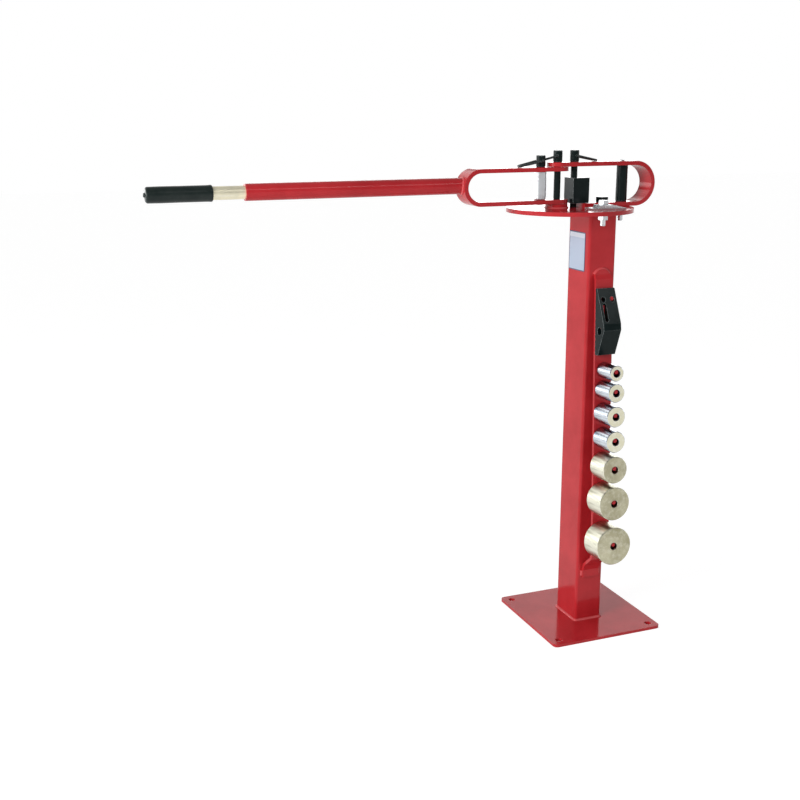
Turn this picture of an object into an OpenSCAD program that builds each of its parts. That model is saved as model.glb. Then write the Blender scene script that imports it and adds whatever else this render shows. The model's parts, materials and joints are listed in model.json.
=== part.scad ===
// Pedestal bar bender: a floor plate and box column carry a round head plate with two bent
// strap yokes, pull-out pins and a swinging handle; a rack on the column holds the dies.
// The origin is the middle of the floor bolt holes on the underside of the base plate.
// +Z is up, the fixed yoke points along +X, the handle along -X, and the rack faces -Y.

/* [Pedestal] */
// Side of the square floor plate
base_w = 248; // [236:2:320]
// Thickness of the floor plate
base_t = 6; // [5:0.5:12]
// Corner radius of the floor plate
base_corner_r = 10; // [4:1:16]
// Distance from the edges of the floor plate to its bolt holes
floor_hole_inset = 19; // [14:0.5:40]
// Diameter of the floor bolt holes
floor_hole_d = 14; // [9:0.5:18]
// Column size along the yoke
column_x = 60; // [50:1:70]
// Column size across the yoke
column_y = 80; // [60:1:90]
// Column wall
column_wall = 3; // [2:0.5:4]
// Corner radius of the column tube
column_r = 5; // [3.5:0.5:8]
// Length of the column
column_h = 848; // [820:2:1000]

/* [Head plate] */
// Diameter of the round head plate
plate_d = 245; // [244:1:280]
// Thickness of the head plate
plate_t = 8; // [6:0.5:12]
// Head plate centre along the yoke
plate_x = -53; // [-54:1:-44]
// Diameter of the pivot boss
boss_d = 43; // [30:1:46]

/* [Yokes] */
// Width of the strap that both yokes are bent from
strap_w = 42; // [36:1:46]
// Thickness of the strap
strap_t = 8; // [6:0.5:10]
// Centre pin position along the yoke
pivot_x = -82; // [-86:1:-76]
// Clear height inside the handle yoke
arm_gap = 53; // [51.5:0.5:64]
// Play between the two yokes, above and below
yoke_play = 0.5; // [0.4:0.1:0.9]
// Centre pin to the outside of the fixed yoke's bend
fixed_reach = 206; // [200:1:230]
// Centre pin to the outside of the handle yoke's bend
arm_reach = 204; // [196:1:230]
// Centre pin to the first hole
first_hole = 36.4; // [36:0.2:38]
// Distance from hole to hole
hole_pitch = 21.4; // [20:0.2:22]
// Pin holes in the fixed yoke beyond the centre hole
fixed_holes = 5; // [3:1:5]
// Pin holes in the handle yoke beyond the centre hole
arm_holes = 6; // [3:1:6]
// Gap from the block pin to the cut end of the lower fixed strap
strap_end_gap = 7; // [3:0.5:9]

/* [Pins] */
// Pin diameter
pin_d = 13; // [11:0.1:13.5]
// Radial clearance round the pins
pin_clear = 0.1; // [0.05:0.01:0.1]
// Pin head diameter
pin_head_d = 18; // [16:0.5:20]
// Pin head height
pin_head_h = 22; // [18:0.5:26]
// Wire thickness of the pull rings
ring_wire = 4; // [3:0.2:4.6]
// Length of a pull ring
ring_len = 46.5; // [38:0.5:52]
// Width of a pull ring at its open end
ring_w = 26; // [26:0.5:28]
// Radial clearance of a ring in its cross hole
ring_clear = 0.3; // [0.3:0.1:0.6]
// Inner bend radius of a ring's corners
ring_bend = 1.2; // [0.8:0.1:1.4]
// Cross hole height above the foot of a pin head
ring_hole_z = 11.6; // [9:0.2:15]
// Roller sleeve diameter
roller_d = 23; // [18:0.5:26]

/* [Block, post and bolts] */
// Side of the square block
block_w = 35; // [30:1:38]
// Height of the square block
block_h = 48; // [36:1:60]
// Block centre beyond its pin
block_offset = 7; // [5:0.5:8]
// Spacer post diameter
post_d = 22; // [16:0.5:26]
// Centre pin to the spacer post
post_reach = 143.5; // [140:0.5:146]
// Post stud diameter
stud_d = 10; // [6:0.5:10]
// Stud length below the head plate
stud_drop = 22; // [14:1:24]
// Yoke bolt thread diameter
yoke_bolt_d = 12; // [10:0.5:14]
// Yoke bolt head size across the flats
yoke_bolt_af = 23; // [18:0.5:24]
// Yoke bolt head height
yoke_bolt_h = 10; // [7:0.5:12]

/* [Stop] */
// Stop bolt position along the yoke
stop_x = -16; // [-24:1:-10]
// Stop bolt position in front of the yoke
stop_y = -63; // [-70:1:-60]
// Stop bolt diameter
stop_bolt_d = 10; // [8:0.5:12]
// Stop bolt head size across the flats
stop_bolt_af = 18; // [16:0.5:20]
// Stop bolt head height
stop_head_h = 8; // [6:0.5:10]
// Thickness of the stop bar
stop_t = 8; // [6:0.5:9]
// Width of the stop bar
stop_w = 24; // [20:1:28]
// Reach of the stop bar's wedge end
stop_wedge = 44; // [36:1:48]
// Reach of the stop bar's step end
stop_step = 33; // [26:1:38]

/* [Handle] */
// Height of the handle tube's axis above the middle of its yoke
handle_rise = 3.5; // [0:0.5:6]
// Outer diameter of the handle tube
tube_d = 30; // [28:0.5:34]
// Wall of the handle tube
tube_wall = 3.2; // [2:0.2:3.6]
// Length of the handle tube
tube_len = 407; // [360:1:520]
// Sliding clearance round the extension pipe
slide_clear = 0.1; // [0.05:0.01:0.1]
// Wall of the extension pipe
pipe_wall = 2.6; // [2:0.2:3.4]
// Bare length of the extension pipe
bare_len = 57; // [54:1:90]
// Length of the extension pipe inside the tube
pipe_inside = 190; // [170:5:240]
// Grip diameter
grip_d = 29; // [28:0.5:34]
// Grip length
grip_len = 114; // [100:1:140]

/* [Rack] */
// Width of the rack strap
rack_w = 38; // [34:1:46]
// Thickness of the rack strap
rack_t = 5.5; // [4:0.5:6.5]
// Rack centre line along the yoke
rack_x = 0; // [-3:0.5:3]
// Lean of the rack away from the column at its foot
rack_lean = 2.7; // [2:0.1:3.5]
// Clear gap behind the top of the rack
rack_gap = 6; // [4:0.5:8]
// Distance from the column's top to the rack's top end
rack_drop = 110; // [90:1:120]
// Length of the welded tab at the top of the rack
rack_tab = 10; // [8:1:20]
// Length of the welded tab at the foot of the rack
rack_foot_tab = 20; // [12:1:26]
// Distance from the rack's top end to the start of its foot bend
rack_bend_drop = 584; // [580:1:596]
// Peg diameter
peg_d = 8.5; // [7:0.5:9]
// Peg length beyond the rack
peg_len = 49; // [30:1:50]
// Length of a die
die_len = 50.5; // [48:0.5:58]
// Bore of the dies and of the vee block
die_bore = 14.5; // [14:0.5:16]
// Distance from the rack's top end to the first die's peg
first_die_drop = 193.5; // [188:0.5:204]
// Gap between neighbouring dies
die_gap = 8.4; // [5:0.2:9]
// Gap between the first two dies
first_die_gap = 5.2; // [3:0.2:8]
// Gap above the last die
last_die_gap = 15.4; // [8:0.2:18]
// Diameter of die 1
die_1_d = 31; // [29:0.5:34]
// Diameter of die 2
die_2_d = 36.5; // [34:0.5:40]
// Diameter of die 3
die_3_d = 41; // [38:0.5:44]
// Diameter of die 4
die_4_d = 42.5; // [40:0.5:46]
// Diameter of die 5
die_5_d = 54; // [50:0.5:56]
// Diameter of die 6
die_6_d = 67.5; // [62:0.5:70]
// Diameter of die 7
die_7_d = 77; // [72:0.5:79]

/* [Vee block] */
// Height of the vee block
vee_h = 130; // [124:1:134]
// Width of the vee block
vee_w = 39; // [36:1:46]
// Depth of the vee block at its nose
vee_depth = 32; // [26:0.2:34]
// Height of the nose above the foot of the vee block
vee_nose_z = 50.5; // [46:0.5:56]
// Height of the vee block's foot above the first die's peg
vee_lift = 29; // [26:0.5:32]
// Thickness of the vee block at its foot
vee_foot_t = 10.6; // [9:0.2:16]
// Thickness of the vee block at its top
vee_top_t = 4.6; // [4:0.2:8]
// Height of the vee block's cross bore
vee_bore_z = 48; // [40:0.5:54]
// Distance of the cross bore from the vee block's back
vee_bore_depth = 15.6; // [13:0.2:17]
// Diameter of the two hanging holes
vee_hole_d = 10; // [9.8:0.2:12]
// Distance from the vee block's top to its hanging holes
vee_hole_drop = 21; // [16:0.5:24]
// Distance of each hanging hole and of the slot from the middle
vee_hole_x = 9.8; // [8:0.2:12]
// Width of the slot
vee_slot_w = 7.8; // [5:0.2:9]
// Length of the slot
vee_slot_len = 35; // [20:1:38]
// Distance from the hanging holes to the slot's lower end
vee_slot_drop = 42; // [38:1:46]
// Reach of the rack's tab into the slot
vee_tab_len = 13; // [6:0.5:16]
// Clearance round the tab in the slot
vee_tab_gap = 0.8; // [0.4:0.1:1.2]

/* [Label] */
// Width of the blank label plate
label_w = 61; // [30:1:66]
// Height of the blank label plate
label_h = 76; // [50:1:90]
// Distance from the column's top to the label's lower edge
label_drop = 116; // [100:1:200]

/* [Hidden] */
$fn = 64;
eps = 0.01;
rest_gap = 0.3;
red = [0.72, 0.12, 0.14];
black = [0.11, 0.12, 0.13];
zinc = [0.78, 0.79, 0.80];
steel = [0.70, 0.69, 0.62];

// Levels, from the floor up
column_top = base_t + column_h;
plate_top = column_top + plate_t;
fixed_gap = arm_gap + 2 * strap_t + 2 * yoke_play;
fixed_low = plate_top;
fixed_inner = fixed_low + strap_t;
fixed_top = fixed_inner + fixed_gap + strap_t;
arm_low = fixed_inner + yoke_play;
arm_inner = arm_low + strap_t;
arm_top = arm_inner + arm_gap + strap_t;
handle_z = (arm_low + arm_top) / 2 + handle_rise;

// Places along the yoke
block_pin_x = pivot_x + first_hole;
post_x = pivot_x + post_reach;
roller_x = pivot_x - first_hole;
yoke_bolt_x = block_pin_x + 3 * hole_pitch;
strap_end_x = block_pin_x + pin_d / 2 + strap_end_gap;
arm_bend_x = pivot_x - arm_reach;
hole_d = pin_d + 2 * pin_clear;
pin_low = column_top + 1;

// Handle, from the yoke's bend outwards
tube_end_x = arm_bend_x - tube_len;
tube_bore = tube_d - 2 * tube_wall;
pipe_d = tube_bore - 2 * slide_clear;
grip_start_x = tube_end_x - bare_len;
grip_end_x = grip_start_x - grip_len;
grip_cap_t = 6;

// Rack frame: its front face leans out towards the foot
lean_tan = tan(rack_lean);
rack_top_z = column_top - rack_drop;
rack_knee_z = rack_top_z - rack_tab;
rack_bend_z = rack_top_z - rack_bend_drop;
first_die_z = rack_top_z - first_die_drop;
rack_front_y = -column_y / 2 - rack_gap - rack_t;
die_d = [die_1_d, die_2_d, die_3_d, die_4_d, die_5_d, die_6_d, die_7_d];
die_gaps = [first_die_gap, die_gap, die_gap, die_gap, die_gap, last_die_gap];
die_steps = [for (i = [0 : 5]) (die_d[i] + die_d[i + 1]) / 2 + die_gaps[i]];
die_hang = die_bore / 2 - peg_d / 2 - rest_gap;
vee_foot_z = first_die_z + vee_lift;
vee_peg_len = vee_top_t + (vee_depth - vee_top_t) * vee_hole_drop / (vee_h - vee_nose_z);
vee_hole_z = vee_h - vee_hole_drop;
vee_slot_z = vee_hole_z - vee_slot_drop;
vee_hang = vee_hole_d / 2 - peg_d / 2 - rest_gap;
block_peg_z = vee_foot_z + vee_hole_z * cos(rack_lean);
ring_droop = asin((ring_hole_z - ring_wire / 2 - rest_gap) / ring_len);
centre_droop = 16;
centre_turn = 145;

function sum_to(list, count) = count == 0 ? 0 : list[count - 1] + sum_to(list, count - 1);
function die_z(i) = first_die_z - sum_to(die_steps, i);
function rack_y(z) = rack_front_y - (rack_knee_z - z) * lean_tan;

// A plate with rounded corners, standing on z = 0
module rounded_plate(x, y, t, r) {
    linear_extrude(t)
        rounded_square(x, y, r);
}

module rounded_square(x, y, r) {
    square([x - 2 * r, y], center = true);
    square([x, y - 2 * r], center = true);
    for (u = [-1, 1], v = [-1, 1])
        translate([u * (x / 2 - r), v * (y / 2 - r)])
            circle(r);
}

// An upright hole through everything between two heights
module drill(x, y, d, z0, z1) {
    translate([x, y, z0 - 1])
        cylinder(d = d, h = z1 - z0 + 2);
}

// An upright rod with a chamfer at both ends
module rod(d, h, chamfer) {
    rotate_extrude()
        polygon([[0, 0], [d / 2 - chamfer, 0], [d / 2, chamfer], [d / 2, h - chamfer],
            [d / 2 - chamfer, h], [0, h]]);
}

module hexagon(af, h) {
    cylinder(d = af / cos(30), h = h, $fn = 6);
}

// A flat strap along +X from a start to an end, with a round end about the origin if asked
module strap(start, end, round_start) {
    linear_extrude(strap_t) {
        if (round_start)
            circle(d = strap_w);
        translate([start, -strap_w / 2])
            square([end - start, strap_w]);
    }
}

// Two straps joined by a half round bend whose outside reaches to x = reach
module bent_strap(low_start, low_round, reach, gap) {
    bend_r = gap / 2 + strap_t;
    bend_x = reach - bend_r;
    strap(low_start, bend_x, low_round);
    translate([0, 0, gap + strap_t])
        strap(0, bend_x, true);
    translate([bend_x, 0, bend_r])
        rotate([90, 0, 0])
            rotate([0, 0, -90])
                rotate_extrude(angle = 180, $fn = 96)
                    translate([gap / 2, -strap_w / 2])
                        square([strap_t, strap_w]);
}

module base_plate() {
    pitch = base_w / 2 - floor_hole_inset;
    color(red)
        difference() {
            rounded_plate(base_w, base_w, base_t, base_corner_r);
            for (u = [-1, 1], v = [-1, 1])
                drill(u * pitch, v * pitch, floor_hole_d, 0, base_t);
        }
}

module column() {
    inner_x = column_x - 2 * column_wall;
    inner_y = column_y - 2 * column_wall;
    color(red)
        translate([0, 0, base_t])
            difference() {
                rounded_plate(column_x, column_y, column_h, column_r);
                translate([0, 0, -1])
                    rounded_plate(inner_x, inner_y, column_h + 2, column_r - column_wall);
            }
}

module head_plate() {
    color(red)
        difference() {
            translate([plate_x, 0, column_top])
                cylinder(d = plate_d, h = plate_t, $fn = 128);
            for (x = [pivot_x, block_pin_x])
                drill(x, 0, hole_d, column_top, plate_top);
            drill(post_x, 0, stud_d, column_top, plate_top);
            drill(yoke_bolt_x, 0, yoke_bolt_d, column_top, plate_top);
            drill(stop_x, stop_y, stop_bolt_d, column_top, plate_top);
        }
}

module pivot_boss() {
    color(red)
        translate([pivot_x, 0, plate_top])
            difference() {
                cylinder(d = boss_d, h = strap_t);
                drill(0, 0, hole_d, 0, strap_t);
            }
}

module fixed_yoke() {
    color(red)
        difference() {
            translate([pivot_x, 0, fixed_low])
                bent_strap(strap_end_x - pivot_x, false, fixed_reach, fixed_gap);
            drill(pivot_x, 0, hole_d, fixed_inner + 2, fixed_top);
            for (i = [0 : fixed_holes - 1])
                drill(block_pin_x + i * hole_pitch, 0, hole_d, fixed_inner + 2, fixed_top);
            for (i = [2 : fixed_holes - 1])
                drill(block_pin_x + i * hole_pitch, 0, hole_d, fixed_low, fixed_inner);
            drill(post_x, 0, stud_d, fixed_low, fixed_top);
            drill(yoke_bolt_x, 0, yoke_bolt_d, fixed_low, fixed_inner);
        }
}

module spacer_post() {
    color(black)
        translate([post_x, 0, fixed_inner])
            difference() {
                rod(post_d, fixed_gap, 0.8);
                drill(0, 0, stud_d, 0, fixed_gap);
            }
}

module post_stud() {
    low = column_top - stud_drop;
    color(zinc)
        translate([post_x, 0, low])
            rod(stud_d, fixed_top + 2 - low, 0.8);
}

// A nut with its washer above it, drawn down from the plate
module post_nut() {
    washer_t = 1.6;
    nut_h = 0.85 * stud_d;
    color(zinc)
        translate([post_x, 0, column_top - washer_t - nut_h])
            difference() {
                union() {
                    hexagon(stud_d * 1.625, nut_h + eps);
                    translate([0, 0, nut_h])
                        cylinder(d = 2.2 * stud_d, h = washer_t);
                }
                drill(0, 0, stud_d, 0, nut_h + washer_t);
            }
}

module yoke_bolt() {
    shank = strap_t + plate_t;
    color(black)
        translate([yoke_bolt_x, 0, fixed_inner]) {
            intersection() {
                hexagon(yoke_bolt_af, yoke_bolt_h);
                rod(yoke_bolt_af / cos(30), yoke_bolt_h, 1);
            }
            translate([0, 0, -shank])
                rod(yoke_bolt_d, shank + 1, 0.8);
        }
}

module label_plate() {
    label_t = 0.6;
    label_z = column_top - label_drop;
    color([0.72, 0.80, 0.88])
        translate([-column_x / 2 - label_t, column_y / 2 - column_r - label_w, label_z])
            cube([label_t, label_w, label_h]);
}

// The rack's side outline: y out from the column, z up
module rack_outline() {
    face = -column_y / 2;
    knee_low_z = rack_bend_z - 36;
    foot_z = knee_low_z - rack_foot_tab;
    front_top = rack_y(rack_knee_z - 8);
    front_low = rack_y(rack_bend_z + 4);
    polygon([[face, rack_top_z], [face - rack_t, rack_top_z], [face - rack_t, rack_knee_z],
        [front_top, rack_knee_z - 8], [front_low, rack_bend_z + 4], [front_low + 3, rack_bend_z - 6],
        [face - rack_t - 5, knee_low_z + 8], [face - rack_t, knee_low_z - 4],
        [face - rack_t, foot_z], [face, foot_z], [face, knee_low_z - 2],
        [face - 4, knee_low_z + 11], [front_low + 3 + rack_t, rack_bend_z - 3],
        [front_low + rack_t, rack_bend_z + 6], [front_top + rack_t, rack_knee_z - 9.5],
        [face, rack_knee_z - 1.5]]);
}

// The rack seen from the front: a strap with a round top end
module rack_front() {
    translate([0, rack_top_z - rack_w / 2])
        circle(d = rack_w);
    translate([-rack_w / 2, 0])
        square([rack_w, rack_top_z - rack_w / 2]);
}

module die_rack() {
    depth = column_y + rack_gap + rack_t + rack_top_z * lean_tan;
    color(red)
        intersection() {
            translate([rack_x - rack_w / 2, 0, 0])
                rotate([90, 0, 90])
                    linear_extrude(rack_w)
                        rack_outline();
            translate([rack_x, 0, 0])
                rotate([90, 0, 0])
                    linear_extrude(depth)
                        rack_front();
        }
}

// Moves to a place on the rack's leaning face, with +Z pointing out along a peg
module on_rack(z, side = 0) {
    translate([rack_x + side, rack_y(z), z])
        rotate([90 - rack_lean, 0, 0])
            children();
}

module die_pegs() {
    color(red)
        for (i = [0 : 6])
            on_rack(die_z(i))
                rod(peg_d, peg_len, 0.8);
}

// The round peg and the flat tab that carry the vee block
module block_peg() {
    color(red) {
        on_rack(block_peg_z, vee_hole_x)
            rod(peg_d, vee_peg_len, 0.8);
        on_rack(block_peg_z)
            translate([-vee_hole_x, -vee_hang - vee_slot_drop + vee_slot_len / 2, vee_tab_len / 2])
                cube([vee_slot_w - 2 * vee_tab_gap, vee_slot_len - vee_slot_w, vee_tab_len], center = true);
    }
}

module die(i) {
    body_d = die_d[i];
    edge = 1.2;
    mouth = 0.8;
    bore_r = die_bore / 2;
    color(i < 4 ? zinc : steel)
        on_rack(die_z(i))
            translate([0, -die_hang, rest_gap])
                rotate_extrude($fn = 96)
                    polygon([[bore_r + mouth, 0], [body_d / 2 - edge, 0], [body_d / 2, edge],
                        [body_d / 2, die_len - edge], [body_d / 2 - edge, die_len],
                        [bore_r + mouth, die_len], [bore_r, die_len - mouth], [bore_r, mouth]]);
}

// The vee block's side outline: x out from the rack, y up along it
module vee_side() {
    band = 13;
    polygon([[0, 0], [vee_foot_t, 0], [vee_depth, vee_nose_z], [vee_depth - 1.4, vee_nose_z + band],
        [vee_top_t, vee_h], [0, vee_h]]);
}

// The vee block, hung so that the peg bears on the top of its right hand hole
module vee_block() {
    color(black)
        on_rack(block_peg_z)
            translate([0, -vee_hole_z - vee_hang, rest_gap])
                difference() {
                    translate([vee_w / 2, 0, 0])
                        rotate([0, -90, 0])
                            linear_extrude(vee_w)
                                vee_side();
                    translate([-vee_w / 2 - 1, vee_bore_z, vee_bore_depth])
                        rotate([0, 90, 0])
                            cylinder(d = die_bore, h = vee_w + 2);
                    for (u = [-1, 1])
                        drill(u * vee_hole_x, vee_hole_z, vee_hole_d, 0, vee_depth);
                    translate([-vee_hole_x - vee_slot_w / 2, vee_slot_z + vee_slot_w / 2, -1])
                        cube([vee_slot_w, vee_slot_len - vee_slot_w, vee_depth + 2]);
                    for (v = [vee_slot_w / 2, vee_slot_len - vee_slot_w / 2])
                        drill(-vee_hole_x, vee_slot_z + v, vee_slot_w, 0, vee_depth);
                }
}

module stop_bolt() {
    nut_stack = 24;
    low = column_top - nut_stack;
    color(zinc)
        translate([stop_x, stop_y, low]) {
            rod(stop_bolt_d, plate_top + stop_t + rest_gap - low + 1, 0.8);
            translate([0, 0, plate_top + stop_t + rest_gap - low])
                intersection() {
                    hexagon(stop_bolt_af, stop_head_h);
                    rod(stop_bolt_af / cos(30), stop_head_h, 0.9);
                }
        }
}

module stop_washer() {
    washer_t = 2.5;
    color(zinc)
        translate([stop_x, stop_y, column_top - washer_t])
            difference() {
                cylinder(d = 2.6 * stop_bolt_d, h = washer_t);
                drill(0, 0, stop_bolt_d, 0, washer_t);
            }
}

module stop_nut() {
    nut_h = 10;
    washer_t = 2.5;
    color(zinc)
        translate([stop_x, stop_y, column_top - washer_t - nut_h])
            difference() {
                intersection() {
                    hexagon(stop_bolt_af, nut_h);
                    rod(stop_bolt_af / cos(30), nut_h, 0.9);
                }
                drill(0, 0, stop_bolt_d, 0, nut_h);
            }
}

// A stepped clamp bar: thin toe at one end, wedge at the other
module stop_bar() {
    toe_t = 3;
    flat = 14;
    color(zinc)
        translate([stop_x, stop_y, plate_top + rest_gap / 2])
            difference() {
                rotate([90, 0, 0])
                    linear_extrude(stop_w, center = true)
                        polygon([[-stop_step, 0], [stop_wedge, 0], [stop_wedge, 1.5], [flat, stop_t],
                            [-flat, stop_t], [-flat - 2, toe_t], [-stop_step, toe_t]]);
                drill(0, 0, stop_bolt_d + 2 * pin_clear, 0, stop_t);
            }
}

module square_block() {
    color(black)
        translate([block_pin_x, 0, fixed_inner + rest_gap])
            difference() {
                translate([block_offset - block_w / 2, -block_w / 2, 0])
                    cube([block_w, block_w, block_h]);
                drill(0, 0, hole_d, 0, block_h);
            }
}

// A pin with a drilled head; its shaft reaches from the head's foot down to low
module pull_pin(x, seat, low, turn = 0) {
    bore = ring_wire + 2 * ring_clear;
    color(black)
        difference() {
            translate([x, 0, 0])
                union() {
                    translate([0, 0, low])
                        rod(pin_d, seat - low + 2, 1);
                    translate([0, 0, seat])
                        rod(pin_head_d, pin_head_h, 1.2);
                }
            translate([x, 0, seat + ring_hole_z])
                rotate([90, 0, turn])
                    cylinder(d = bore, h = pin_head_d + 2, center = true);
        }
}

// The bend at corner b of a wire that runs from a to c: each point with its heading
function bend_points(a, b, c, r) =
    let (from = atan2(b[1] - a[1], b[0] - a[0]))
    let (turn = (atan2(c[1] - b[1], c[0] - b[0]) - from + 720) % 360)
    let (cut = r * tan(turn / 2))
    let (middle = [b[0] - cut * cos(from) - r * sin(from), b[1] - cut * sin(from) + r * cos(from)])
    [for (k = [0 : 6])
        let (h = from + turn * k / 6)
        [middle[0] + r * sin(h), middle[1] - r * cos(h), h]];

// A closed round wire that bends anticlockwise round the corners given
module wire_loop(corners, r) {
    n = len(corners);
    sides = 12;
    path = [for (i = [0 : n - 1])
        each bend_points(corners[(i + n - 1) % n], corners[i], corners[(i + 1) % n], r)];
    count = len(path);
    points = [for (q = path, j = [0 : sides - 1])
        let (out = ring_wire / 2 * cos(360 * j / sides))
        [q[0] + out * sin(q[2]), q[1] - out * cos(q[2]), ring_wire / 2 * sin(360 * j / sides)]];
    faces = [for (i = [0 : count - 1], j = [0 : sides - 1])
        let (a = i * sides, b = (i + 1) % count * sides, k = (j + 1) % sides)
        each [[a + j, a + k, b + k], [a + j, b + k, b + j]]];
    polyhedron(points, faces);
}

// A pull ring in its pin head, turned about the pin and dropped about its cross hole
module pull_ring(x, seat, turn, droop) {
    half = ring_w / 2;
    tip = ring_w / 4;
    color(black)
        translate([x, 0, seat + ring_hole_z])
            rotate([0, 0, turn])
                rotate([0, droop, 0])
                    wire_loop([[0, -half], [ring_len, -tip], [ring_len, tip], [0, half]],
                        ring_bend + ring_wire / 2);
}

module roller_sleeve() {
    length = arm_gap - 2 * rest_gap;
    bore_r = pin_d / 2 + pin_clear;
    color(zinc)
        translate([roller_x, 0, arm_inner + rest_gap])
            rotate_extrude()
                polygon([[bore_r, 0], [roller_d / 2 - 1, 0], [roller_d / 2, 1],
                    [roller_d / 2, length - 1], [roller_d / 2 - 1, length], [bore_r, length]]);
}

module arm_yoke() {
    color(red)
        difference() {
            translate([pivot_x, 0, arm_low])
                rotate([0, 0, 180])
                    bent_strap(0, true, arm_reach, arm_gap);
            drill(pivot_x, 0, hole_d, arm_low, arm_top);
            for (i = [0 : arm_holes - 1])
                drill(roller_x - i * hole_pitch, 0, hole_d, arm_low, arm_top);
        }
}

// A tube along -X from a start to an end
module x_tube(start_x, end_x, outer, inner) {
    translate([end_x, 0, handle_z])
        rotate([0, 90, 0])
            difference() {
                cylinder(d = outer, h = start_x - end_x);
                translate([0, 0, -1])
                    cylinder(d = inner, h = start_x - end_x + 2);
            }
}

// The handle tube, its mouth cut to sit on the round of the yoke's bend
module arm_tube() {
    bend_r = arm_gap / 2 + strap_t;
    color(red)
        difference() {
            x_tube(arm_bend_x + tube_d / 2, tube_end_x, tube_d, tube_bore);
            translate([arm_bend_x + bend_r, 0, handle_z - handle_rise])
                rotate([90, 0, 0])
                    cylinder(r = bend_r, h = strap_w + 2, center = true, $fn = 96);
        }
}

module extension_pipe() {
    color([0.90, 0.86, 0.74])
        x_tube(tube_end_x + pipe_inside, grip_end_x + grip_cap_t, pipe_d, pipe_d - 2 * pipe_wall);
}

module grip() {
    round_r = 4;
    nub_d = 7;
    nub_h = 2.5;
    bore_r = pipe_d / 2;
    grip_r = grip_d / 2;
    color(black)
        translate([grip_end_x - nub_h, 0, handle_z])
            rotate([0, 90, 0])
                rotate_extrude()
                    polygon(concat(
                        [[0, 0], [nub_d / 2, 0], [nub_d / 2, nub_h], [grip_r - round_r, nub_h]],
                        [for (a = [15 : 15 : 90])
                            [grip_r - round_r + round_r * sin(a), nub_h + round_r - round_r * cos(a)]],
                        [[grip_r, nub_h + grip_len - 1], [grip_r - 1, nub_h + grip_len],
                            [bore_r, nub_h + grip_len], [bore_r, nub_h + grip_cap_t],
                            [0, nub_h + grip_cap_t]]));
}

base_plate();
column();
head_plate();
pivot_boss();
fixed_yoke();
spacer_post();
post_stud();
post_nut();
yoke_bolt();
label_plate();
die_rack();
die_pegs();
block_peg();
stop_bolt();
stop_washer();
stop_nut();
stop_bar();
square_block();
pull_pin(block_pin_x, fixed_top, pin_low);  // block_pin
pull_ring(block_pin_x, fixed_top, 0, ring_droop);  // block_ring
pull_pin(pivot_x, fixed_top, pin_low, centre_turn);  // centre_pin
pull_ring(pivot_x, fixed_top, centre_turn, centre_droop);  // centre_ring
pull_pin(roller_x, arm_top, arm_low - 2);  // roller_pin
pull_ring(roller_x, arm_top, 180, ring_droop);  // roller_ring
roller_sleeve();
arm_yoke();
arm_tube();
extension_pipe();
grip();
die(0);  // die_1
die(1);  // die_2
die(2);  // die_3
die(3);  // die_4
die(4);  // die_5
die(5);  // die_6
die(6);  // die_7
vee_block();
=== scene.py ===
"""Looks for a pedestal flat bar bender: enamel, black oxide, zinc plate, machined dies, weld beads,
a rubber grip and a blank label, with a pale studio stage."""

import json
import math

import bmesh
import bpy
from mathutils import Matrix, Vector


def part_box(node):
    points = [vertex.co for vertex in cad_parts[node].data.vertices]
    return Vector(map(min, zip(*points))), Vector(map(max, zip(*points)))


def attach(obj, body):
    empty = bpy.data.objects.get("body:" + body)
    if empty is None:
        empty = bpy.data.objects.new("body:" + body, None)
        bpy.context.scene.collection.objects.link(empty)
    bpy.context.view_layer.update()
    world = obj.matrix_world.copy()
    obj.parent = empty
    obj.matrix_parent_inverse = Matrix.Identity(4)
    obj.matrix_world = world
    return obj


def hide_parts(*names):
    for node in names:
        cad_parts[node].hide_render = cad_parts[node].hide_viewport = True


bl_info = {
    "name": "Flat Bar Bender Looks",
    "version": (1, 0, 0),
    "blender": (4, 5, 0),
    "location": "View3D > Sidebar > Bender",
    "description": "Dresses a pedestal flat bar bender and lights it in a pale studio",
    "category": "Object",
}

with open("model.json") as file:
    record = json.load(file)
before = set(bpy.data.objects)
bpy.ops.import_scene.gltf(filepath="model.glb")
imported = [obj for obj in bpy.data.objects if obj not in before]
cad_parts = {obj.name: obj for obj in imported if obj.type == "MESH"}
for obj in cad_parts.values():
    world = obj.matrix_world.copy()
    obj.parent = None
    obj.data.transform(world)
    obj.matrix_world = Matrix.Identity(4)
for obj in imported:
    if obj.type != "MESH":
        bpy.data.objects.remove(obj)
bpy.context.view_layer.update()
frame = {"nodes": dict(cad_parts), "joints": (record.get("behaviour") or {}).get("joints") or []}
NODES = frame["nodes"]

# Pieces by finish
ENAMEL = ("base_plate", "column", "head_plate", "pivot_boss", "fixed_yoke", "die_rack", "die_pegs",
          "block_peg", "arm_yoke", "arm_tube")
OXIDE = ("spacer_post", "yoke_bolt", "square_block", "block_pin", "block_ring", "centre_pin",
         "centre_ring", "roller_pin", "roller_ring", "vee_block")
PLATED = ("post_stud", "post_nut", "stop_bolt", "stop_washer", "stop_nut", "stop_bar", "roller_sleeve")
DIES = tuple("die_%d" % i for i in range(1, 8))


class EnamelSettings(bpy.types.PropertyGroup):
    """Red gloss enamel"""
    red: bpy.props.FloatVectorProperty(
        name="Enamel", description="Colour of the gloss enamel", subtype="COLOR", size=3, min=0, max=1,
        default=(0.60, 0.030, 0.038))
    dark: bpy.props.FloatVectorProperty(
        name="Thin Enamel", description="Colour where the enamel runs thin", subtype="COLOR", size=3,
        min=0, max=1, default=(0.48, 0.019, 0.025))
    # Pale pink of the painted highlight along the edges; the fine specks and the welds' painted sheen use it
    # too.
    edge: bpy.props.FloatVectorProperty(
        name="Edge", description="Colour of the rubbed edges", subtype="COLOR", size=3, min=0, max=1,
        default=(0.84, 0.16, 0.17))
    peel: bpy.props.FloatProperty(
        name="Orange Peel", description="Depth of the orange peel", subtype="DISTANCE", unit="LENGTH",
        min=0, max=0.001, default=0.00006, precision=5)


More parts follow.
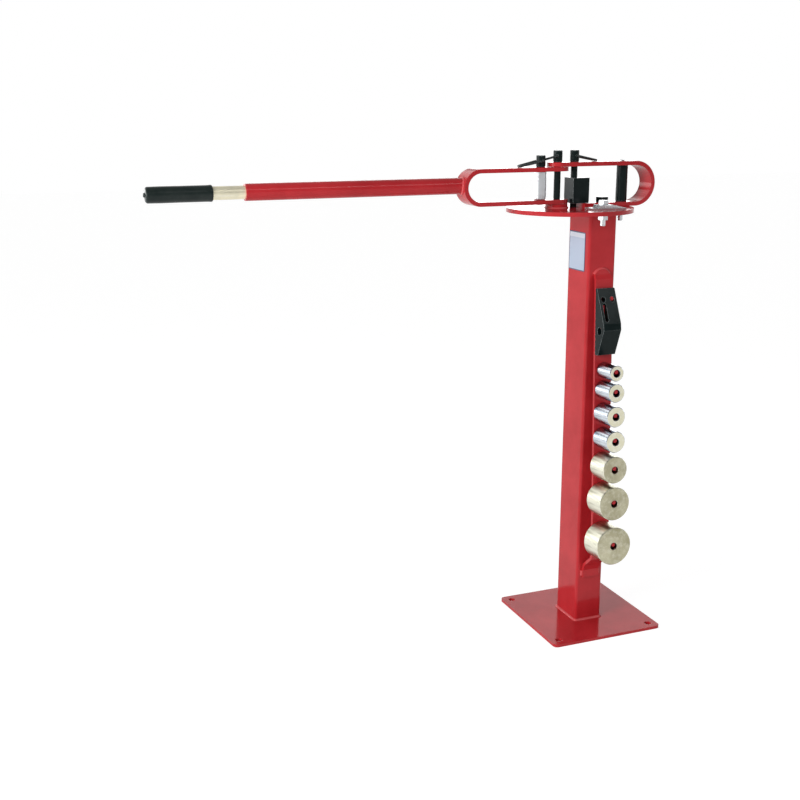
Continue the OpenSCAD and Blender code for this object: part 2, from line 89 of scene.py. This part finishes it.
class MetalSettings(bpy.types.PropertyGroup):
    """Bare, plated and blackened steel, and the dies"""
    oxide: bpy.props.FloatVectorProperty(
        name="Black Oxide", description="Colour of the blackened steel", subtype="COLOR", size=3, min=0,
        max=1, default=(0.004, 0.010, 0.010))
    zinc: bpy.props.FloatVectorProperty(
        name="Zinc", description="Colour of the zinc plate", subtype="COLOR", size=3, min=0, max=1,
        default=(0.72, 0.74, 0.76))
    machined: bpy.props.FloatVectorProperty(
        name="Machined Face", description="Colour of the turned and oiled faces", subtype="COLOR", size=3,
        min=0, max=1, default=(0.76, 0.73, 0.54))
    pipe: bpy.props.FloatVectorProperty(
        name="Pipe", description="Colour of the bare extension pipe", subtype="COLOR", size=3, min=0,
        max=1, default=(0.95, 0.88, 0.64))
    ring_pitch: bpy.props.FloatProperty(
        name="Tool Marks", description="Distance between turning marks on the dies", subtype="DISTANCE",
        unit="LENGTH", min=0.0002, max=0.005, default=0.0021, precision=4)


class GripSettings(bpy.types.PropertyGroup):
    """Rubber grip"""
    rubber: bpy.props.FloatVectorProperty(
        name="Rubber", description="Colour of the grip", subtype="COLOR", size=3, min=0, max=1,
        default=(0.007, 0.014, 0.013))
    lip: bpy.props.FloatProperty(
        name="Lip", description="Depth of the rolled lip at the grip's mouth", subtype="DISTANCE",
        unit="LENGTH", min=0.0002, max=0.002, default=0.0005, precision=4)


class WeldSettings(bpy.types.PropertyGroup):
    """Weld beads"""
    radius: bpy.props.FloatProperty(
        name="Bead", description="Radius of a weld bead", subtype="DISTANCE", unit="LENGTH", min=0.001,
        max=0.006, default=0.0032, precision=4)
    ripple: bpy.props.FloatProperty(
        name="Ripple", description="Distance between the ripples of a bead", subtype="DISTANCE",
        unit="LENGTH", min=0.001, max=0.006, default=0.0024, precision=4)


class LabelSettings(bpy.types.PropertyGroup):
    """Blank label plate"""
    field: bpy.props.FloatVectorProperty(
        name="Field", description="Colour of the blank field", subtype="COLOR", size=3, min=0, max=1,
        default=(0.45, 0.54, 0.68))
    border: bpy.props.FloatVectorProperty(
        name="Border", description="Colour of the printed border", subtype="COLOR", size=3, min=0, max=1,
        default=(0.030, 0.050, 0.130))
    corner: bpy.props.FloatProperty(
        name="Corner", description="Radius of the label's corners", subtype="DISTANCE", unit="LENGTH",
        min=0.001, max=0.008, default=0.004, precision=4)


class StageSettings(bpy.types.PropertyGroup):
    """Floor, lamps and camera"""
    floor: bpy.props.FloatVectorProperty(
        name="Floor", description="Colour of the studio floor", subtype="COLOR", size=3, min=0, max=1,
        default=(0.93, 0.93, 0.93))
    pad: bpy.props.FloatProperty(
        name="Pad", description="Half width of the dark floor under the base", subtype="DISTANCE",
        unit="LENGTH", min=0, max=1, default=0.118, precision=3)
    key: bpy.props.FloatProperty(
        name="Key Lamp", description="Power of the key lamp", subtype="POWER", unit="POWER", min=0, max=400,
        default=70.0)
    fill: bpy.props.FloatProperty(
        name="Fill Lamp", description="Power of the fill lamp", subtype="POWER", unit="POWER", min=0,
        max=400, default=6.0)
    ambient: bpy.props.FloatProperty(
        name="Ambient", description="Strength of the light from all round", min=0, max=2, default=0.34)
    camera_place: bpy.props.FloatVectorProperty(
        name="Camera", description="Place of the camera", subtype="XYZ", unit="LENGTH", size=3,
        default=(-1.1654, -1.9408, 1.0437))
    heading: bpy.props.FloatProperty(
        name="Heading", description="Turn of the camera to the right", subtype="ANGLE", unit="ROTATION",
        default=math.radians(21.35))
    pitch: bpy.props.FloatProperty(
        name="Pitch", description="Tilt of the camera below level", subtype="ANGLE", unit="ROTATION",
        default=math.radians(14.34))
    roll: bpy.props.FloatProperty(
        name="Roll", description="Roll of the camera", subtype="ANGLE", unit="ROTATION",
        default=math.radians(-0.22))
    lens: bpy.props.FloatProperty(
        name="Lens", description="Focal length for a sensor 36 mm wide", min=20, max=200, default=50.9)


class Wire:
    """One output of a node; sums and products on it add Math nodes."""

    def __init__(self, graph, socket):
        self.graph = graph
        self.socket = socket

    def math(self, operation, *others):
        terms = dict(enumerate((self,) + others))
        return self.graph.node("ShaderNodeMath", {"operation": operation}, terms)

    def __add__(self, other):
        return self.math("ADD", other)

    def __sub__(self, other):
        return self.math("SUBTRACT", other)

    def __rsub__(self, other):
        return self.graph.node("ShaderNodeMath", {"operation": "SUBTRACT"}, {0: other, 1: self})

    def __mul__(self, other):
        return self.math("MULTIPLY", other)

    def __truediv__(self, other):
        return self.math("DIVIDE", other)

    def __pow__(self, other):
        return self.math("POWER", other)

    def sine(self):
        return self.math("SINE")

    def size(self):
        return self.math("ABSOLUTE")

    def above(self, limit):
        return self.math("GREATER_THAN", limit)

    def span(self, low, high):
        """0 below low, 1 above high and a ramp between."""
        return self.graph.node("ShaderNodeMapRange", {"clamp": True},
                               {"Value": self, "From Min": low, "From Max": high})


class Graph:
    """A node tree, with short ways to add its nodes."""

    def __init__(self, tree):
        self.tree = tree

    def node(self, kind, settings=None, values=None, output=0):
        made = self.tree.nodes.new(kind)
        for key, value in (settings or {}).items():
            setattr(made, key, value)
        for key, value in (values or {}).items():
            self.plug(made.inputs[key], value)
        return Wire(self, made.outputs[output])

    def light_path(self, ray):
        return self.node("ShaderNodeLightPath", output="Is %s Ray" % ray)

    def plug(self, socket, value):
        if isinstance(value, Wire):
            self.tree.links.new(value.socket, socket)
        elif hasattr(socket.default_value, "__len__") and len(socket.default_value) == 4:
            socket.default_value = (*value[:3], 1)
        else:
            socket.default_value = value

    def mix(self, factor, first, second):
        return self.node("ShaderNodeMix", {"data_type": "RGBA"}, {0: factor, 6: first, 7: second}, 2)

    def place(self, location=(0, 0, 0), rotation=(0, 0, 0), scale=(1, 1, 1)):
        """Object coordinates, centred on a place and turned."""
        coordinates = self.node("ShaderNodeTexCoord", output="Object")
        return self.node("ShaderNodeMapping", {"vector_type": "TEXTURE"},
                         {"Vector": coordinates, "Location": location, "Rotation": rotation, "Scale": scale})

    def noise(self, vector, scale, detail=2.0, roughness=0.5):
        return self.node("ShaderNodeTexNoise", None,
                         {"Vector": vector, "Scale": scale, "Detail": detail, "Roughness": roughness})

    def axes(self, vector):
        split = self.node("ShaderNodeSeparateXYZ", None, {0: vector})
        outputs = split.socket.node.outputs
        return [Wire(self, outputs[i]) for i in range(3)]


class Shader(Graph):
    """A material with one Principled surface."""

    def __init__(self, name):
        self.material = bpy.data.materials.new(name)
        self.material.use_nodes = True
        super().__init__(self.material.node_tree)
        self.surface = self.tree.nodes["Principled BSDF"]

    def set(self, **values):
        for key, value in values.items():
            self.plug(self.surface.inputs[key.replace("_", " ").title().replace("Ior", "IOR")], value)
        return self.material

    def soft_edges(self, radius):
        """Normals rounded at the edges, and a mask that is 1 along them, where the materials paint a
        highlight.
        """
        rounded = self.node("ShaderNodeBevel", {"samples": 4}, {"Radius": radius})
        flat = self.node("ShaderNodeNewGeometry", output="Normal")
        same = self.node("ShaderNodeVectorMath", {"operation": "DOT_PRODUCT"}, {0: rounded, 1: flat}, "Value")
        return rounded, (1 - same).span(0.01, 0.16)

    def bump(self, height, distance, normal=None):
        values = {"Height": height, "Distance": distance}
        if normal is not None:
            values["Normal"] = normal
        return self.node("ShaderNodeBump", None, values)


def enamel_material(settings, name="Red enamel", painted_sheen=0.0):
    """Gloss enamel with orange peel, thin spots, pale specks and a painted highlight along the edges; the
    last argument pales it all as a painted sheen.
    """
    s = Shader(name)
    place = s.place()
    broad = s.noise(place, 9.0, 4.0, 0.6)
    specks = s.noise(place, 1500.0, 1.0)
    peel = s.noise(place, 420.0, 2.0)
    rounded, edge = s.soft_edges(0.0011)
    colour = s.mix(broad.span(0.38, 0.66), settings.red, settings.dark)
    colour = s.mix(specks.span(0.62, 0.80) * 0.25, colour, settings.edge)
    # Painted highlight: the edges paled towards the highlight colour, patchily.
    colour = s.mix(edge * broad.span(0.3, 0.6) * 0.55, colour, settings.edge)
    # Painted sheen: the whole coat paled towards the highlight colour by the last argument.
    colour = s.mix(painted_sheen, colour, settings.edge)
    return s.set(base_color=colour, roughness=broad * 0.10 + 0.12, ior=1.2, coat_weight=0.2,
                 coat_roughness=0.05, normal=s.bump(peel, settings.peel, rounded))


def oxide_material(settings):
    """Blackened steel: nearly black, lightly mottled, with a painted highlight along the corners."""
    s = Shader("Black oxide")
    place = s.place()
    broad = s.noise(place, 60.0, 4.0, 0.65)
    fine = s.noise(place, 900.0, 2.0)
    rounded, edge = s.soft_edges(0.0012)
    colour = s.mix(broad.span(0.35, 0.7), settings.oxide, (0.009, 0.017, 0.017))
    # Painted highlight: pale grey along the edges, broken by fine noise.
    colour = s.mix(edge * fine.span(0.30, 0.5) * 0.9, colour, (0.50, 0.55, 0.56))
    return s.set(base_color=colour, specular_ior_level=0.12, roughness=broad * 0.14 + 0.13,
                 normal=s.bump(fine, 0.00004, rounded))


def zinc_material(settings):
    """Bright zinc plate, lightly mottled, with a painted highlight on the edges."""
    s = Shader("Zinc plate")
    place = s.place()
    shade = s.noise(place, 90.0, 3.0, 0.6)
    fine = s.noise(place, 1200.0, 2.0)
    rounded, edge = s.soft_edges(0.0006)
    colour = s.mix(shade.span(0.3, 0.7) * 0.4, settings.zinc, (0.46, 0.50, 0.54))
    # Painted highlight: the edges paled towards white.
    colour = s.mix(edge * 0.4, colour, (0.95, 0.95, 0.95))
    return s.set(base_color=colour, metallic=0.8, roughness=shade * 0.12 + 0.20,
                 normal=s.bump(fine, 0.00001, rounded))


def die_material(name, settings, centre, lean, plated):
    """Turned steel: rings on the end faces, painted reflection bands along the round side and a painted
    highlight on the edges.
    """
    s = Shader(name)
    local = s.place(location=centre, rotation=(math.pi / 2 - lean, 0, 0))
    x, y, z = s.axes(local)
    radius = (x * x + y * y) ** 0.5
    axis = (0, -math.cos(lean), math.sin(lean))
    normal = s.node("ShaderNodeNewGeometry", output="Normal")
    facing = s.node("ShaderNodeVectorMath", {"operation": "DOT_PRODUCT"}, {0: normal, 1: axis}, "Value")
    face = facing.size().span(0.80, 0.95)
    rounded, edge = s.soft_edges(0.0006)
    turning = 2 * math.pi / settings.ring_pitch
    side_turning = turning * 1.7
    rings = (radius * turning).sine()
    marks = (z * side_turning).sine()
    mottle = s.noise(s.place(), 130.0, 4.0, 0.6)
    around, along = 2.4, 9.0
    # Painted reflection: noise stretched along the round side gives bands like a studio mirrored in a
    # cylinder.
    round_side = s.node("ShaderNodeCombineXYZ", None,
                        {0: x / radius * around, 1: y / radius * around, 2: z * along})
    streaks = s.noise(round_side, 1.0, 3.0, 0.62)
    broad = s.noise(s.place(), 22.0, 2.0, 0.5)
    # dark and bright are the painted reflection bands of the round side; low_face is the darker tone of the
    # end faces.
    if plated:
        dark, bright, low_face = (0.13, 0.17, 0.23), (0.62, 0.67, 0.72), (0.84, 0.81, 0.62)
    else:
        dark, bright, low_face = (0.34, 0.33, 0.24), (0.78, 0.77, 0.64), (0.38, 0.35, 0.22)
    side_reflection = s.mix(streaks.span(0.36, 0.62), dark, bright)
    face_colour = s.mix(broad.span(0.30, 0.70), low_face, settings.machined)
    face_colour = s.mix(rings * 0.4 + 0.4, face_colour, low_face)
    face_colour = s.mix(mottle.span(0.45, 0.75) * (0.8 if plated else 0.4), face_colour,
                        (0.95, 0.94, 0.84))
    colour = s.mix(face, side_reflection, face_colour)
    # Painted highlight: the edges paled towards white.
    colour = s.mix(edge * 0.5, colour, (0.95, 0.95, 0.92))
    height = rings * face + marks * (1 - face) * 0.3 + mottle * 0.1
    side_roughness = 0.20 if plated else 0.32
    return s.set(base_color=colour, metallic=1.0, roughness=face * 0.14 + mottle * 0.06 + side_roughness,
                 normal=s.bump(height, 0.00002, rounded))


def pipe_material(settings):
    """Galvanised pipe, drawn lengthways and yellowed, with a painted highlight on the edges."""
    s = Shader("Galvanised pipe")
    streaks = s.noise(s.place(scale=(14, 1, 1)), 260.0, 3.0, 0.6)
    patches = s.noise(s.place(), 40.0, 3.0, 0.55)
    rounded, edge = s.soft_edges(0.0006)
    colour = s.mix(patches.span(0.35, 0.65), settings.pipe, (0.80, 0.75, 0.56))
    colour = s.mix(streaks.span(0.45, 0.75) * 0.4, colour, (0.93, 0.92, 0.84))
    # Painted highlight: the edges paled towards white.
    colour = s.mix(edge * 0.5, colour, (0.92, 0.92, 0.9))
    return s.set(base_color=colour, metallic=0.5, roughness=patches * 0.15 + 0.30,
                 normal=s.bump(streaks, 0.00004, rounded))


def rubber_material(settings):
    """Matte rubber with a fine grain, greyer where it is handled."""
    s = Shader("Rubber grip")
    place = s.place()
    grain = s.noise(place, 2200.0, 2.0)
    broad = s.noise(place, 55.0, 3.0, 0.6)
    colour = s.mix(broad.span(0.35, 0.7), settings.rubber, (0.016, 0.024, 0.022))
    return s.set(base_color=colour, specular_ior_level=0.25, roughness=broad * 0.15 + 0.25,
                 normal=s.bump(grain, 0.00004))


def label_material(settings, low, high):
    """A blank field inside a thin printed border."""
    s = Shader("Blank label")
    _, y, z = s.axes(s.place(location=(0, (low.y + high.y) / 2, (low.z + high.z) / 2)))
    half_y, half_z = (high.y - low.y) / 2, (high.z - low.z) / 2
    to_side = y.size() - half_y
    to_top = z.size() - half_z
    inset = to_side.math("MAXIMUM", to_top)
    border_width = 0.0021
    border = inset.above(-border_width)
    print_fade = s.noise(s.place(), 90.0, 4.0, 0.6)
    band = z.span(half_z * 0.70, half_z * 0.72)
    field = s.mix(print_fade.span(0.3, 0.7) * 0.5, settings.field, (0.46, 0.55, 0.68))
    field = s.mix(band * 0.6, field, (0.78, 0.84, 0.90))
    colour = s.mix(border, field, settings.border)
    return s.set(base_color=colour, roughness=print_fade * 0.1 + 0.32,
                 normal=s.bump(print_fade, 0.00003))


def dress(names, material):
    for name in names:
        slots = NODES[name].data.materials
        slots.clear()
        slots.append(material)


def new_piece(name, mesh_builder, material, body, replaces=None, smooth=True):
    """Makes an object from a bmesh, closes it, and lets it ride with a body."""
    bmesh.ops.remove_doubles(mesh_builder, verts=mesh_builder.verts, dist=1e-6)
    bmesh.ops.recalc_face_normals(mesh_builder, faces=mesh_builder.faces)
    mesh = bpy.data.meshes.new(name)
    mesh_builder.to_mesh(mesh)
    mesh_builder.free()
    for face in mesh.polygons:
        face.use_smooth = smooth
    mesh.materials.append(material)
    piece = bpy.data.objects.new(name, mesh)
    bpy.context.scene.collection.objects.link(piece)
    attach(piece, body)
    if replaces:
        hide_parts(*replaces)
    return piece


def bead_along(builder, path, radius, ripple, closed=False):
    """A rippled bead: a small circle carried along a path, a step at a time."""
    narrow = 0.84
    first_size, last_size = 1.25, 0.5
    steps = []
    length = sum((b - a).length for a, b in zip(path, path[1:]))
    if closed:
        path = path + [path[0]]
        length += (path[-1] - path[-2]).length
    count = max(4, int(length / ripple * 2))
    travelled, part = 0.0, 0
    for i in range(count + (0 if closed else 1)):
        target = length * i / count
        while part < len(path) - 2 and travelled + (path[part + 1] - path[part]).length < target - 1e-9:
            travelled += (path[part + 1] - path[part]).length
            part += 1
        run = path[part + 1] - path[part]
        steps.append((path[part] + run.normalized() * (target - travelled), run.normalized()))
    turn = Vector((0, 0, 1)).rotation_difference(steps[0][1]).to_matrix().to_4x4()
    circle = bmesh.ops.create_circle(builder, cap_ends=False, radius=radius, segments=8,
                                     matrix=Matrix.Translation(steps[0][0]) @ turn)
    ring = circle["verts"]
    edges = list({e for v in ring for e in v.link_edges})
    first = edges
    for i, (place, heading) in enumerate(steps[1:], 1):
        made = bmesh.ops.extrude_edge_only(builder, edges=edges)["geom"]
        verts = [g for g in made if isinstance(g, bmesh.types.BMVert)]
        edges = [g for g in made if isinstance(g, bmesh.types.BMEdge)]
        before, last = steps[i - 1]
        swing = last.rotation_difference(heading).to_matrix().to_4x4()
        grow = narrow if i % 2 else 1 / narrow
        if not closed and i in (1, len(steps) - 1):
            grow *= first_size if i == 1 else last_size
        move = Matrix.Translation(place) @ swing @ Matrix.Scale(grow, 4) @ Matrix.Translation(-before)
        bmesh.ops.transform(builder, matrix=move, verts=verts)
    if closed:
        bmesh.ops.bridge_loops(builder, edges=first + edges)
    else:
        bmesh.ops.holes_fill(builder, edges=first + edges, sides=0)


def ring_path(centre, radius, count=48, start=0.0, sweep=2 * math.pi, upright=False):
    """Points of a circle, or of an arc of it, lying flat or upright across Y."""
    ends = 0 if sweep == 2 * math.pi else 1
    points = []
    for i in range(count + ends):
        a = start + sweep * i / count
        u, v = radius * math.cos(a), radius * math.sin(a)
        points.append(Vector(centre) + Vector((u, 0, v) if upright else (u, v, 0)))
    return points


def rounded_path(half_x, half_y, corner, z, steps=4):
    """Points of a level rectangle with round corners."""
    points = []
    for quarter, (u, v) in enumerate(((1, 1), (-1, 1), (-1, -1), (1, -1))):
        for i in range(steps + 1):
            a = math.pi / 2 * (quarter + i / steps)
            points.append(Vector((u * (half_x - corner) + corner * math.cos(a),
                                  v * (half_y - corner) + corner * math.sin(a), z)))
    return points


class BENDER_OT_enamel(bpy.types.Operator):
    """Coat the painted pieces with red gloss enamel"""
    bl_idname = "bender.enamel"
    bl_label = "Enamel"

    def execute(self, context):
        dress(ENAMEL, enamel_material(context.scene.bender_enamel))
        return {"FINISHED"}


class BENDER_OT_metals(bpy.types.Operator):
    """Blacken the pins, rings, block and post, and plate the bolts, stop and sleeve"""
    bl_idname = "bender.metals"
    bl_label = "Metals"

    def execute(self, context):
        settings = context.scene.bender_metal
        dress(OXIDE, oxide_material(settings))
        dress(PLATED, zinc_material(settings))
        dress(("extension_pipe",), pipe_material(settings))
        return {"FINISHED"}


class BENDER_OT_dies(bpy.types.Operator):
    """Give each die its turned faces"""
    bl_idname = "bender.dies"
    bl_label = "Dies"

    def execute(self, context):
        settings = context.scene.bender_metal
        slide = next(j for j in frame["joints"] if j["name"] == "die_1_slide")
        lean = math.asin(slide["axis"][2])
        for i, name in enumerate(DIES):
            low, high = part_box(name)
            material = die_material("Die %d" % (i + 1), settings, (low + high) / 2, lean, i < 4)
            dress((name,), material)
        return {"FINISHED"}


class BENDER_OT_grip(bpy.types.Operator):
    """Spin the rubber grip with its rolled lip, closed end and nub"""
    bl_idname = "bender.grip"
    bl_label = "Grip"

    def execute(self, context):
        settings = context.scene.bender_grip
        low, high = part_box("grip")
        pipe_low, pipe_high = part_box("extension_pipe")
        z = (low.z + high.z) / 2
        outer = (high.z - low.z) / 2
        inner = (pipe_high.z - pipe_low.z) / 2 + 0.0001
        nub = 0.0025
        lip = settings.lip
        shoulder = 0.0042
        rim = nub + 0.0006
        shoulder_steps = 6
        profile = [(low.x, 0), (low.x, 0.0028), (low.x + 0.0006, 0.0035), (low.x + nub, 0.0038),
                   (low.x + rim, 0.0060)]
        for i in range(1, shoulder_steps + 1):
            a = math.pi / 2 * i / shoulder_steps
            profile.append((low.x + rim + shoulder * (1 - math.cos(a)),
                            outer - 0.0006 - shoulder + shoulder * math.sin(a)))
        profile += [(low.x + 0.030, outer - 0.0003), (low.x + 0.060, outer - 0.0005),
                    (high.x - 0.012, outer - 0.0004), (high.x - 0.006, outer - 0.0003),
                    (high.x - 0.004, outer), (high.x - 0.0015, outer), (high.x - 0.0004, outer - 0.0006),
                    (high.x, outer - 0.0014), (high.x, inner + lip), (high.x - lip, inner),
                    (pipe_low.x + 0.0002, inner), (pipe_low.x + 0.0001, 0)]
        builder = bmesh.new()
        verts = [builder.verts.new((x, 0, z + r)) for x, r in profile]
        edges = [builder.edges.new(pair) for pair in zip(verts, verts[1:])]
        bmesh.ops.spin(builder, geom=verts + edges, cent=(0, 0, z), axis=(1, 0, 0), angle=2 * math.pi,
                       steps=48, use_merge=True, use_duplicate=False)
        new_piece("rubber_grip", builder, rubber_material(settings), "extension", ("grip",))
        return {"FINISHED"}


class BENDER_OT_label(bpy.types.Operator):
    """Lay a blank plate with rounded corners on the column"""
    bl_idname = "bender.label"
    bl_label = "Label"

    def execute(self, context):
        settings = context.scene.bender_label
        low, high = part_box("label_plate")
        builder = bmesh.new()
        made = bmesh.ops.create_cube(builder, size=1.0)
        size = high - low
        centre = (low + high) / 2
        bmesh.ops.transform(builder, matrix=Matrix.Translation(centre) @ Matrix.Diagonal((*size, 1)),
                            verts=made["verts"])
        corners = [e for e in builder.edges
                   if abs(e.verts[0].co.x - e.verts[1].co.x) > size.x / 2]
        bmesh.ops.bevel(builder, geom=corners, offset=settings.corner, affect="EDGES", segments=5,
                        profile=0.5, material=-1)
        rim = [e for e in builder.edges if all(v.co.x < low.x + size.x / 4 for v in e.verts)]
        bmesh.ops.bevel(builder, geom=rim, offset=size.x * 0.35, affect="EDGES", segments=2, profile=0.5,
                        material=-1)
        new_piece("blank_label", builder, label_material(settings, low, high), "frame",
                  ("label_plate",), smooth=False)
        return {"FINISHED"}


class BENDER_OT_welds(bpy.types.Operator):
    """Run the weld beads at the column, rack, boss and handle root"""
    bl_idname = "bender.welds"
    bl_label = "Weld Beads"

    def execute(self, context):
        settings = context.scene.bender_weld
        # The weld beads' enamel is paled towards the highlight colour, a painted sheen that stands in for
        # their speculars.
        enamel = enamel_material(context.scene.bender_enamel, "Weld enamel", 0.55)
        r, step = settings.radius, settings.ripple
        foot, thin, root = r * 1.3, r * 0.7, r * 0.9
        corner = 0.005
        rack_bead = 0.012
        rack_gap = 0.002
        low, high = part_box("column")
        builder = bmesh.new()
        bead_along(builder, rounded_path(high.x, high.y, corner, low.z), foot, step, True)
        bead_along(builder, rounded_path(high.x, high.y, corner, high.z), thin, step, True)
        boss_low, boss_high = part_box("pivot_boss")
        boss = (boss_low + boss_high) / 2
        bead_along(builder, ring_path((boss.x, boss.y, boss_low.z), boss_high.x - boss.x), thin, step,
                   True)
        new_piece("frame_welds", builder, enamel, "frame")

        rack_low, rack_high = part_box("die_rack")
        face = low.y
        half = (rack_high.x - rack_low.x) / 2
        middle = (rack_high.x + rack_low.x) / 2
        builder = bmesh.new()
        for x in (middle - half, middle + half):
            start = Vector((x, face, rack_low.z + rack_gap + rack_bead))
            bead_along(builder, [start, Vector((x, face, rack_low.z + rack_gap))], r, step)
        bead_along(builder, ring_path((middle, face, rack_high.z - half), half, 24, math.radians(30),
                                      math.radians(120), upright=True), r, step)
        new_piece("rack_welds", builder, enamel, "frame")

        tube_low, tube_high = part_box("arm_tube")
        yoke_low, yoke_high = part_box("arm_yoke")
        tube_r = (tube_high.z - tube_low.z) / 2
        tube_z = (tube_high.z + tube_low.z) / 2
        bend_r = (yoke_high.z - yoke_low.z) / 2
        bend_z = (yoke_high.z + yoke_low.z) / 2
        count = 48
        points = []
        for i in range(count):
            a = 2 * math.pi * i / count
            y, z = tube_r * math.cos(a), tube_z + tube_r * math.sin(a)
            points.append(Vector((yoke_low.x + bend_r - math.sqrt(bend_r ** 2 - (z - bend_z) ** 2), y, z)))
        builder = bmesh.new()
        bead_along(builder, points, root, step, True)
        new_piece("handle_weld", builder, enamel, "arm")
        return {"FINISHED"}


class BENDER_OT_stage(bpy.types.Operator):
    """Set the floor, the lamps, the white surroundings and the camera"""
    bl_idname = "bender.stage"
    bl_label = "Stage"

    def execute(self, context):
        settings = context.scene.bender_stage
        scene = context.scene
        scene.view_settings.view_transform = "Standard"
        self.floor(settings)
        self.surroundings(scene, settings)
        self.lamp("Key", (-3.1, -1.1, 1.5), settings.key, 1.6)
        self.lamp("Fill", (1.6, -2.6, 1.6), settings.fill, 1.8)
        camera = bpy.data.cameras.new("Camera")
        camera.lens = settings.lens
        camera.sensor_width = 36
        camera.clip_end = 50
        viewer = bpy.data.objects.new("Camera", camera)
        viewer.matrix_world = (Matrix.Translation(settings.camera_place)
                               @ Matrix.Rotation(-settings.heading, 4, "Z")
                               @ Matrix.Rotation(math.pi / 2 - settings.pitch, 4, "X")
                               @ Matrix.Rotation(settings.roll, 4, "Z"))
        scene.collection.objects.link(viewer)
        scene.camera = viewer
        return {"FINISHED"}

    def floor(self, settings):
        s = Shader("Studio floor")
        grain = s.noise(s.place(), 3.0, 2.0)
        colour = s.mix(grain * 0.05, settings.floor, (1, 1, 1))
        s.set(base_color=colour, roughness=0.9, specular_ior_level=0.1)
        seen = s.light_path("Camera").math("MAXIMUM", s.light_path("Glossy"))
        seen = seen.math("MAXIMUM", s.light_path("Transmission"))
        x, y, _ = s.axes(s.place())
        pad_edge = 0.006
        outside = x.size().math("MAXIMUM", y.size()).span(settings.pad, settings.pad + pad_edge)
        glow = s.node("ShaderNodeEmission", None, {"Color": (1, 1, 1), "Strength": 1.2})
        glow_share = 0.76
        blend = s.node("ShaderNodeMixShader", None, {0: seen * outside * glow_share, 2: glow})
        s.tree.links.new(s.surface.outputs[0], blend.socket.node.inputs[1])
        s.tree.links.new(blend.socket, s.tree.nodes["Material Output"].inputs["Surface"])
        builder = bmesh.new()
        bmesh.ops.create_grid(builder, x_segments=2, y_segments=2, size=14)
        mesh = bpy.data.meshes.new("studio_floor")
        builder.to_mesh(mesh)
        builder.free()
        mesh.materials.append(s.material)
        floor = bpy.data.objects.new("studio_floor", mesh)
        bpy.context.scene.collection.objects.link(floor)

    def surroundings(self, scene, settings):
        """White to the camera, even for diffuse light, and banded where metal mirrors it."""
        world = bpy.data.worlds.new("Studio")
        scene.world = world
        world.use_nodes = True
        s = Graph(world.node_tree)
        back = s.tree.nodes["Background"]
        direction = s.node("ShaderNodeTexCoord", output="Generated")
        x, y, z = s.axes(direction)
        overhead = 1 - z.span(0.5, 0.75) * 0.5
        behind = y.span(-0.7, 0.1) * 0.6 + 0.4
        low_sky = (1 - z.span(0.10, 0.28)) * y.span(0.1, 0.5)
        dark_band = z.span(0.18, 0.24) * (1 - z.span(0.32, 0.37))
        back_lamp = z.span(0.35, 0.38) * (1 - z.span(0.48, 0.56)) * y.span(0.3, 0.6)
        glint = (0 - x).span(0.93, 0.96) * (1 - z.size().span(0.30, 0.50))
        strip_height = z.span(0.52, 0.56) * (1 - z.span(0.60, 0.64))
        strip = strip_height * (0 - y).span(0.40, 0.50) * x.span(0.15, 0.25)
        walls = overhead * behind * (1 - dark_band * 0.8) * 0.9
        room = walls + low_sky * 3.0 + back_lamp * 0.9 + glint * 6.0 + strip * 6.0
        camera = s.light_path("Camera").math("MAXIMUM", s.light_path("Transmission"))
        glossy = s.light_path("Glossy")
        strength = (1 - camera) * (1 - glossy) * settings.ambient + glossy * (1 - camera) * room + camera
        s.plug(back.inputs["Color"], (1, 1, 1))
        s.plug(back.inputs["Strength"], strength)

    def lamp(self, name, place, power, size):
        data = bpy.data.lights.new(name, "AREA")
        data.energy = power
        data.size = size
        lamp = bpy.data.objects.new(name, data)
        lamp.visible_glossy = False
        middle_height = 0.55
        aim = Vector((0, 0, middle_height)) - Vector(place)
        lamp.matrix_world = Matrix.Translation(place) @ aim.to_track_quat("-Z", "Y").to_matrix().to_4x4()
        bpy.context.scene.collection.objects.link(lamp)


class BENDER_PT_panel(bpy.types.Panel):
    """Steps and settings of the bender's looks"""
    bl_idname = "BENDER_PT_panel"
    bl_label = "Flat Bar Bender"
    bl_space_type = "VIEW_3D"
    bl_region_type = "UI"
    bl_category = "Bender"

    def draw(self, context):
        for operator in OPERATORS:
            self.layout.operator(operator.bl_idname)
        for name in GROUPS:
            settings = getattr(context.scene, name)
            for key in settings.__annotations__:
                self.layout.prop(settings, key)


GROUPS = {"bender_enamel": EnamelSettings, "bender_metal": MetalSettings, "bender_grip": GripSettings,
          "bender_weld": WeldSettings, "bender_label": LabelSettings, "bender_stage": StageSettings}
OPERATORS = (BENDER_OT_stage, BENDER_OT_enamel, BENDER_OT_metals, BENDER_OT_dies, BENDER_OT_grip,
             BENDER_OT_label, BENDER_OT_welds)


def register():
    for name, group in GROUPS.items():
        bpy.utils.register_class(group)
        setattr(bpy.types.Scene, name, bpy.props.PointerProperty(type=group))
    for operator in OPERATORS:
        bpy.utils.register_class(operator)
    bpy.utils.register_class(BENDER_PT_panel)


def unregister():
    bpy.utils.unregister_class(BENDER_PT_panel)
    for operator in reversed(OPERATORS):
        bpy.utils.unregister_class(operator)
    for name, group in GROUPS.items():
        delattr(bpy.types.Scene, name)
        bpy.utils.unregister_class(group)


def main():
    register()
    bpy.ops.bender.stage()
    bpy.ops.bender.enamel()
    bpy.ops.bender.metals()
    bpy.ops.bender.dies()
    bpy.ops.bender.grip()
    bpy.ops.bender.label()
    bpy.ops.bender.welds()


if __name__ == "__main__":
    main()
